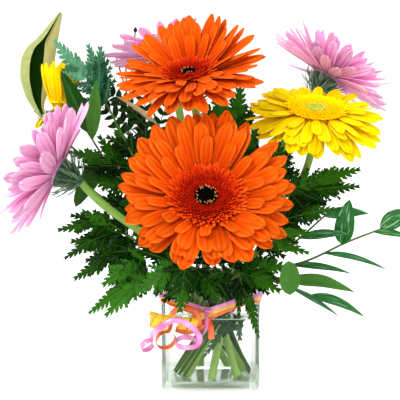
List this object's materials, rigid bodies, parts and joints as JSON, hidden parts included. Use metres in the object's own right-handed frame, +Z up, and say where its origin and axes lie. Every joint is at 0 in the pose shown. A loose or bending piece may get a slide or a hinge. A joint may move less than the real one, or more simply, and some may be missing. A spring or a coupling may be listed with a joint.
{
  "type": "gerberas in a vase",
  "caption": "Bouquet of orange, yellow and pink gerberas with fern, ruscus and broad leaves in a square clear glass vase tied with curling ribbons.",
  "frame": {"origin": "middle of the vase's underside", "axes": "+Z up, -Y towards the front with the knot of the ribbons, +X to the right seen from the front"},
  "size_m": [0.3395, 0.262, 0.3077],
  "materials": {
    "glass": "clear polished",
    "water": "clear",
    "orange_petal": "soft matt",
    "yellow_petal": "soft matt",
    "pink_petal": "soft matt",
    "orange_disc": "soft matt",
    "yellow_disc": "soft matt",
    "pink_disc": "soft matt",
    "dark_eye": "soft matt",
    "pale_eye": "soft matt",
    "flower_stem": "soft matt",
    "fern": "satin leaf",
    "broad_leaf": "satin leaf",
    "pale_leaf": "satin leaf",
    "dry_leaf": "dull leaf",
    "ruscus": "glossy leaf",
    "dark_sprig": "soft matt",
    "orange_ribbon": "glossy",
    "yellow_ribbon": "glossy",
    "pink_ribbon": "glossy"
  },
  "bodies": {
    "root": {"vase": "glass", "ribbon_orange": "orange_ribbon", "ribbon_yellow": "yellow_ribbon", "ribbon_pink": "pink_ribbon", "stem_orange_front": "flower_stem", "petals_orange_front": "orange_petal", "disc_orange_front": "orange_disc", "eye_orange_front": "dark_eye", "stem_orange_top": "flower_stem", "petals_orange_top": "orange_petal", "disc_orange_top": "orange_disc", "eye_orange_top": "dark_eye", "stem_yellow_right": "flower_stem", "petals_yellow_right": "yellow_petal", "disc_yellow_right": "yellow_disc", "eye_yellow_right": "pale_eye", "stem_pink_right": "flower_stem", "petals_pink_right": "pink_petal", "disc_pink_right": "pink_disc", "eye_pink_right": "pale_eye", "stem_pink_left": "flower_stem", "petals_pink_left": "pink_petal", "disc_pink_left": "pink_disc", "eye_pink_left": "pale_eye", "stem_pink_back": "flower_stem", "petals_pink_back": "pink_petal", "disc_pink_back": "pink_disc", "eye_pink_back": "pale_eye", "stem_yellow_left": "flower_stem", "petals_yellow_left": "yellow_petal", "disc_yellow_left": "yellow_disc", "eye_yellow_left": "pale_eye", "folded_leaf": "pale_leaf", "bud_stalks": "dark_sprig", "ruscus_right": "ruscus", "ruscus_upper": "ruscus", "ruscus_low": "ruscus", "sprig_left": "dark_sprig", "dry_leaves": "dry_leaf", "fern_back_left": "fern", "fern_back": "fern", "fern_back_right": "fern", "broad_leaves_left": "broad_leaf", "fern_top": "fern", "fern_right": "fern", "fern_right_low": "fern", "broad_leaves_right": "broad_leaf", "fern_upper_left": "fern", "fern_left": "fern", "fern_left_low": "fern", "fern_left_dark": "fern", "fern_lower_left": "fern", "fern_front": "fern", "fern_rim": "fern", "water": "water"}
  },
  "joints": []
}
